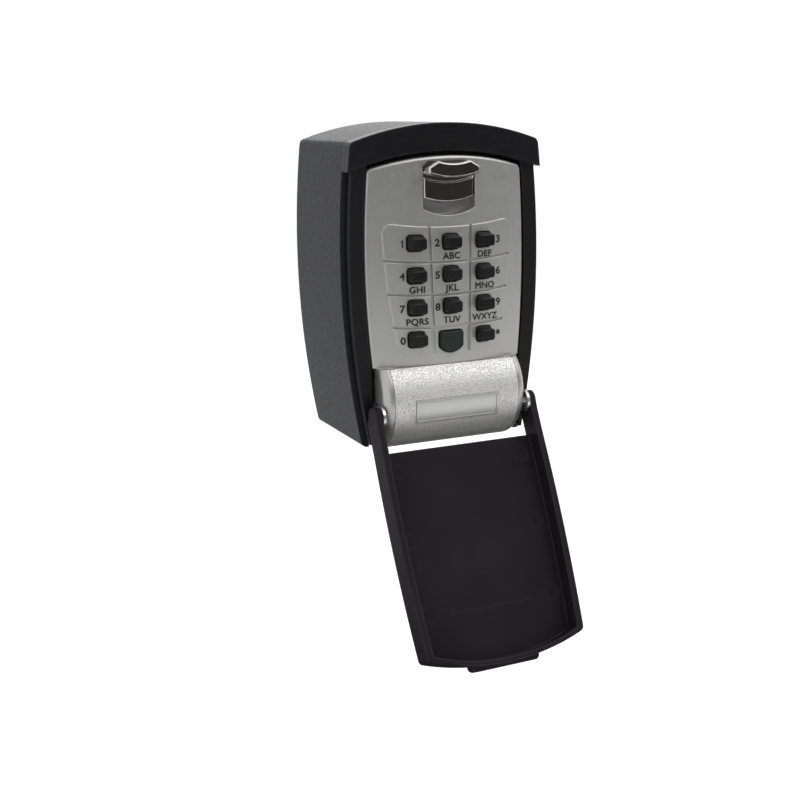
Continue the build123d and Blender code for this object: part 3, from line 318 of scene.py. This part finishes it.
def hammered_silver():
    """Hammered silver finish on the barrel's cover."""
    s = Surface("hammered_silver", Metallic=0.85, Coat_Weight=0.1, Coat_Roughness=0.3)
    rounded = s.soft_edges(0.3 * MM)
    pits = s.spread(s.cells(2900, smooth=0.5), 0.05, 0.6)
    height = s.math("ADD", pits, s.product(s.noise(3200, 2), 0.7))
    # colour follows the dents' height: darker in the dents, lighter on the crowns; partly the
    # finish's own mottle, partly painted shade in the dents
    tone = s.mix(s.spread(height, 0.45, 1.25), (0.24, 0.24, 0.24), (0.70, 0.695, 0.68))
    s.set("Base Color", tone)
    s.set("Roughness", s.cloud(900, 2, 0.40, 0.52))
    s.set("Normal", s.bump(height, 0.075 * MM, 1.0, rounded))
    return s


def plate_silver():
    """Smoother satin silver of the blank name plate."""
    s = Surface("satin_silver", Metallic=0.85)
    rounded = s.soft_edges(0.2 * MM)
    brush = s.noise(420, 4, 0.6, s.stretched((0.12, 1, 1)))
    s.set("Base Color", s.mix(s.spread(brush, 0.3, 0.7), (0.42, 0.42, 0.42), (0.50, 0.50, 0.49)))
    s.set("Roughness", s.spread(brush, 0.3, 0.7, 0.30, 0.40))
    s.set("Normal", s.bump(s.noise(3600, 2), 0.01 * MM, 0.5, rounded))
    return s


def chrome():
    """Polished chrome with faint handling marks, and worn, rougher edges that carry a painted
    highlight.
    """
    s = Surface("polished_chrome", Metallic=1.0)
    rounded = s.soft_edges(0.32 * MM)
    painted_highlight_edge = s.edge_mask(rounded)
    smear = s.spread(s.noise(160, 5, 0.7), 0.35, 0.75)
    tone = s.mix(smear, (0.60, 0.585, 0.56), (0.52, 0.50, 0.47))
    # painted highlight: the edges are lightened almost to white
    s.set("Base Color", s.mix(painted_highlight_edge, tone, (0.97, 0.96, 0.93)))
    flat_roughness = s.spread(smear, 0.0, 1.0, 0.05, 0.14)
    # the same edges are also rougher, as wear
    s.set("Roughness", s.math("ADD", flat_roughness, s.product(painted_highlight_edge, 0.35)))
    s.set("Normal", s.bump(s.noise(900, 2), 0.002 * MM, 0.4, rounded))
    return s


def zinc_steel(name, tint, gloss):
    """Zinc-plated steel: spangle, fine rolling lines and a faint blue cast."""
    s = Surface(name, Metallic=1.0)
    rounded = s.soft_edges(0.15 * MM)
    spangle = s.spread(s.cells(420), 0.1, 0.7)
    lines = s.noise(700, 3, 0.6, s.stretched((1, 0.15, 1)))
    dark = tuple(0.78 * c for c in tint)
    s.set("Base Color", s.mix(s.product(spangle, s.spread(lines, 0.3, 0.7)), tint, dark))
    s.set("Roughness", s.spread(lines, 0.3, 0.7, gloss - 0.05, gloss + 0.08))
    s.set("Normal", s.bump(lines, 0.006 * MM, 0.5, rounded))
    return s


def button_plastic():
    """Black satin button plastic, polished a little on the touched faces."""
    s = Surface("button_black", Specular_IOR_Level=0.22)
    rounded = s.soft_edges(0.25 * MM)
    touch = s.spread(s.noise(300, 3), 0.35, 0.65)
    s.set("Base Color", s.mix(touch, (0.0035, 0.0035, 0.0042), (0.0062, 0.0062, 0.0070)))
    s.set("Roughness", s.spread(touch, 0.0, 1.0, 0.34, 0.46))
    s.set("Normal", s.bump(s.noise(3000, 2), 0.01 * MM, 0.5, rounded))
    return s


def clear_plastic_button():
    """Dark bottle-green plastic of the clear button."""
    s = Surface("button_dark_green", Specular_IOR_Level=0.25)
    rounded = s.soft_edges(0.3 * MM)
    cloud = s.cloud(260, 3)
    s.set("Base Color", s.mix(cloud, (0.006, 0.012, 0.010), (0.010, 0.018, 0.014)))
    s.set("Roughness", s.spread(cloud, 0.0, 1.0, 0.36, 0.46))
    s.set("Normal", s.bump(s.noise(2600, 2), 0.01 * MM, 0.5, rounded))
    return s


def seal_rubber():
    """Black rubber with a grey bloom."""
    s = Surface("seal_rubber", Specular_IOR_Level=0.3)
    bloom = s.spread(s.noise(240, 4), 0.3, 0.75)
    s.set("Base Color", s.mix(bloom, (0.010, 0.010, 0.010), (0.024, 0.024, 0.025)))
    s.set("Roughness", s.spread(bloom, 0.0, 1.0, 0.68, 0.85))
    s.set("Normal", s.bump(s.noise(1800, 3), 0.02 * MM, 0.5))
    return s


def brass():
    """Brass of the code screws, tarnished in patches."""
    s = Surface("code_brass", Metallic=1.0)
    rounded = s.soft_edges(0.12 * MM)
    tarnish = s.spread(s.noise(520, 4), 0.35, 0.75)
    s.set("Base Color", s.mix(tarnish, (0.70, 0.50, 0.22), (0.46, 0.31, 0.13)))
    s.set("Roughness", s.spread(tarnish, 0.0, 1.0, 0.24, 0.44))
    s.set("Normal", s.bump(s.noise(1500, 2), 0.008 * MM, 0.5, rounded))
    return s


def printing_ink():
    """Pad-printed black ink: slightly uneven, thinner here and there."""
    s = Surface("printed_ink", Specular_IOR_Level=0.35)
    cover = s.spread(s.noise(2600, 3), 0.3, 0.75)
    s.set("Base Color", s.mix(cover, (0.006, 0.006, 0.006), (0.022, 0.022, 0.022)))
    s.set("Roughness", s.spread(cover, 0.0, 1.0, 0.4, 0.6))
    s.set("Normal", s.bump(s.noise(4200, 2), 0.004 * MM, 0.4))
    return s


COAT = powder_coat()
BEZEL = black_moulding(
    "bezel_moulding",
    low=(0.0030, 0.0031, 0.0040),
    high=(0.0046, 0.0047, 0.0056),
    grain=2300,
    gloss=0.42,
    specular=0.2,
)
FLAP = black_moulding(
    "flap_moulding",
    low=(0.0105, 0.0092, 0.0108),
    high=(0.0138, 0.0124, 0.0142),
    grain=1900,
    gloss=0.52,
    specular=0.05,
)
SILVER = silver_paint()
HAMMERED = hammered_silver()
PLATE = plate_silver()
CHROME = chrome()
STEEL = zinc_steel("plated_steel", (0.62, 0.63, 0.65), 0.32)
SCREW = zinc_steel("screw_steel", (0.66, 0.66, 0.66), 0.26)
SPRING = zinc_steel("spring_steel", (0.52, 0.52, 0.53), 0.3)
BUTTON = button_plastic()
CLEAR = clear_plastic_button()
RUBBER = seal_rubber()
BRASS = brass()
INK = printing_ink()

FINISH = {
    "casing": COAT,
    "bezel": BEZEL,
    "weather_flap": FLAP,
    "door_seal": RUBBER,
    "door": SILVER,
    "barrel_cover": HAMMERED,
    "name_plate": PLATE,
    "latch_lever": CHROME,
    "button_clear": CLEAR,
    "button_springs": SPRING,
    "latch_spring": SPRING,
    "hinge_pins": SCREW,
}


def finish_of(name):
    """The surface of a CAD node: plated steel unless its name calls for another."""
    if name in FINISH:
        return FINISH[name]
    if name.startswith("button_"):
        return BUTTON
    if name.startswith("code_screw_"):
        return BRASS
    if "screw" in name:
        return SCREW
    return STEEL


for name, obj in nodes.items():
    dress(obj, finish_of(name))

# ---------------------------------------------------------------- springs
SPRING_REACH = 3.0 * MM        # from a button's axis: beyond its own coil, short of the next


def button_coil(x, z):
    """A copy of the one button spring that stands round the line through x, z."""
    bm = bmesh.new()
    bm.from_mesh(nodes["button_springs"].data)
    far = [v for v in bm.verts if max(abs(v.co.x - x), abs(v.co.z - z)) > SPRING_REACH]
    bmesh.ops.delete(bm, geom=far, context="VERTS")
    return mesh_of("button_spring", bm)


def squeezed_spring(name, mesh, node):
    """A coil on the door: the spring mesh as its own object riding with the door, with the CAD
    node hidden.
    """
    obj = add_object(name, mesh)
    dress(obj, finish_of(node))
    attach(obj, "door")
    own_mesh(obj)
    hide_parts(node)


def add_springs():
    for key in [*DIGITS, "star", "clear"]:
        coil = button_coil(*centre("button_" + key))
        squeezed_spring("spring_" + key, coil, "button_springs")
    coil = nodes["latch_spring"].data.copy()
    squeezed_spring("spring_latch", coil, "latch_spring")


add_springs()

# ------------------------------------------------------- keypad lettering
# Places are from the middle of a key's button. The columns are -1, 0 and 1.
DIGIT_HEIGHT = 2.75 * MM
LETTER_HEIGHT = 2.35 * MM
DIGIT_BESIDE = {-1: -4.9 * MM, 0: -5.1 * MM, 1: 6.2 * MM}
DIGIT_DROP = 0.2 * MM
STAR_HEIGHT = 3.1 * MM
STAR_DROP = 0.7 * MM
LETTERS_BELOW = 4.9 * MM
LETTERS_RIGHT = {-1: 0.4 * MM, 0: 0.3 * MM, 1: 0.55 * MM}
MIDDLE_COLUMN = 4 * MM         # its buttons stand within this of the centre line
LEGEND_STRETCH = 1.08          # width over that of the type
TRACKING = 1.05                # space between letters, over that of the type
STROKE_SPREAD = 0.038          # thickens the strokes, as a share of the type size
LONGEST_MITRE = 1.6            # how far a sharp corner may move, over the spread
SAME_POINT = 1e-4              # of the type size
INK_DEPTH = 0.05 * MM
LETTERS = {
    "2": "ABC", "3": "DEF", "4": "GHI", "5": "JKL",
    "6": "MNO", "7": "PQRS", "8": "TUV", "9": "WXYZ",
}


def thicken(bm, amount):
    """Moves the outline of flat lettering outward, along the mean of its edges' normals."""
    push = {v: Vector((0, 0, 0)) for v in bm.verts}
    for face in bm.faces:
        up = 1 if face.normal.z > 0 else -1
        for loop in face.loops:
            if len(loop.edge.link_faces) == 1:
                start, end = loop.vert, loop.link_loop_next.vert
                run = (end.co - start.co).normalized() * up
                for vert in (start, end):
                    push[vert] += Vector((run.y, -run.x, 0))
    for vert, direction in push.items():
        if direction.length > 0.01:
            # two edges that meet at an angle leave a sum shorter than 2
            reach = min(2 / direction.length, LONGEST_MITRE)
            vert.co += direction.normalized() * amount * reach


def word_outline(words):
    """Vertices (x, y) and faces of a word in type of size 1."""
    curve = bpy.data.curves.new("word", "FONT")
    curve.body = words
    curve.size = 1
    curve.resolution_u = 4
    curve.space_character = TRACKING
    obj = add_object("word", curve)
    bpy.context.view_layer.update()
    shown = obj.evaluated_get(bpy.context.evaluated_depsgraph_get())
    mesh = bpy.data.meshes.new_from_object(shown)
    bm = bmesh.new()
    bm.from_mesh(mesh)
    bmesh.ops.remove_doubles(bm, verts=bm.verts, dist=SAME_POINT)
    bpy.data.objects.remove(obj)
    bpy.data.meshes.remove(mesh)
    thicken(bm, STROKE_SPREAD)
    bm.verts.index_update()
    points = [(v.co.x, v.co.y) for v in bm.verts]
    faces = [tuple(v.index for v in f.verts) for f in bm.faces]
    bm.free()
    return points, faces


def numeral_one():
    """A plain 1 with a slanted flag, in type of size 1."""
    stem, flag, top = 0.14, 0.17, 0.72
    points = [
        (0, 0), (stem, 0), (stem, top), (0.2 * stem, top),
        (-flag, 0.78 * top), (-flag, 0.66 * top), (0, 0.80 * top),
    ]
    return points, [tuple(range(len(points)))]


def flat_text(words, height, stretch):
    """Outline of a word round the origin, with capitals or figures height tall."""
    points, faces = numeral_one() if words == "1" else word_outline(words)
    model = word_outline("H" if words[0].isalpha() else "7")[0]
    low, high = min(y for x, y in model), max(y for x, y in model)
    left, right = min(x for x, y in points), max(x for x, y in points)
    size = height / (high - low)
    flat = [
        ((x - (left + right) / 2) * size * stretch, (y - (low + high) / 2) * size)
        for x, y in points
    ]
    return flat, faces


def surface_tree(name):
    """A CAD node's surface, for finding points on it."""
    mesh = nodes[name].data
    return BVHTree.FromPolygons(
        [v.co.copy() for v in mesh.vertices], [tuple(p.vertices) for p in mesh.polygons]
    )


def print_legends():
    """All keypad printing as one thin film of ink that follows the door's face."""
    door = surface_tree("door")
    start = cad_lo.y - 10 * MM     # in front of everything
    bm = bmesh.new()

    def stamp(words, height, stretch, x, z):
        flat, faces = flat_text(words, height, stretch)
        made = []
        for px, pz in flat:
            # the door's face bulges across only, so the word's own middle height serves
            hit = door.ray_cast(Vector((x + px, start, z)), INWARD)[0]
            made.append(bm.verts.new((x + px, hit.y - INK_DEPTH, z + pz)))
        for face in faces:
            bm.faces.new([made[i] for i in face])

    for key in DIGITS:
        x, z = centre("button_" + key)
        column = 0 if abs(x) < MIDDLE_COLUMN else (1 if x > 0 else -1)
        stamp(key, DIGIT_HEIGHT, LEGEND_STRETCH, x + DIGIT_BESIDE[column], z - DIGIT_DROP)
        if key in LETTERS:
            middle = x + LETTERS_RIGHT[column]
            stamp(LETTERS[key], LETTER_HEIGHT, LEGEND_STRETCH, middle, z - LETTERS_BELOW)
    x, z = centre("button_star")
    stamp("*", STAR_HEIGHT, 1.0, x + DIGIT_BESIDE[1], z - STAR_DROP)
    bmesh.ops.recalc_face_normals(bm, faces=bm.faces)
    obj = add_object("keypad_print", mesh_of("keypad_print", bm))
    dress(obj, INK)
    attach(obj, "door")


print_legends()

# ------------------------------------------------------------ studio stage
# A white ground and sky, three soft lights, and two dark cards that only glossy
# reflections show. The lights and the cards are hidden from the camera.
FLOOR_DROP = 160 * MM
FLOOR_HALF = 12.0
WORLD_STRENGTH = 1.06
SOFTBOXES = [  # name, place, width, height, watts
    ("key_light", (0.45, -0.60, 0.85), 0.7, 0.6, 3),
    ("rim_light", (0.45, 1.0, 0.5), 0.8, 0.5, 2.5),
    ("side_light", (1.0, -0.6, 0.3), 0.5, 0.9, 1.5),
]
FLAGS = [  # name, place, point it faces, width, height
    ("front_flag", (0.20, -0.36, 0.05), (0.10, 0.0, 0.05), 1.2, 0.26),
    ("low_flag", (0.12, 0.0, -0.22), (0.12, 0.0, 0.0), 0.7, 0.45),
]
FLAG_GREY = 0.03


def flat_grid(name, segments, size):
    bm = bmesh.new()
    bmesh.ops.create_grid(bm, x_segments=segments, y_segments=segments, size=size)
    return add_object(name, mesh_of(name, bm))


def grey(value):
    return (value, value, value)


def add_floor():
    floor = flat_grid("floor", 8, FLOOR_HALF)
    floor.location.z = cad_lo.z - FLOOR_DROP
    s = Surface("pale_floor", Roughness=0.9, Specular_IOR_Level=0.1)
    s.set("Base Color", s.mix(s.noise(3, 3), grey(0.955), grey(0.975)))
    dress(floor, s)


def add_world():
    world = bpy.data.worlds.new("studio")
    world.use_nodes = True
    background = world.node_tree.nodes["Background"]
    background.inputs["Color"].default_value = (1.0, 1.0, 1.0, 1)
    background.inputs["Strength"].default_value = WORLD_STRENGTH
    bpy.context.scene.world = world


def add_softbox(name, place, width, height, watts):
    """A soft light that faces the object's middle."""
    data = bpy.data.lights.new(name, "AREA")
    data.shape = "RECTANGLE"
    data.size, data.size_y = width, height
    data.energy = watts
    light = add_object(name, data)
    light.visible_camera = False
    aim_at(light, place, (cad_lo + cad_hi) / 2)


def add_flag(name, place, faces, width, height):
    """A dark card that shows in glossy reflections and nowhere else."""
    card = flat_grid(name, 2, 0.5)
    aim_at(card, place, faces)
    card.scale = (width, height, 1)
    card.visible_camera = False
    card.visible_diffuse = False
    card.visible_shadow = False
    card.visible_transmission = False
    s = Surface(name, Roughness=1.0, Specular_IOR_Level=0.0)
    s.set("Base Color", s.mix(s.noise(4, 2), grey(FLAG_GREY), grey(1.2 * FLAG_GREY)))
    dress(card, s)


add_floor()
add_world()
for softbox in SOFTBOXES:
    add_softbox(*softbox)
for flag in FLAGS:
    add_flag(*flag)

scene = bpy.context.scene
scene.view_settings.view_transform = "Standard"
scene.view_settings.look = "None"
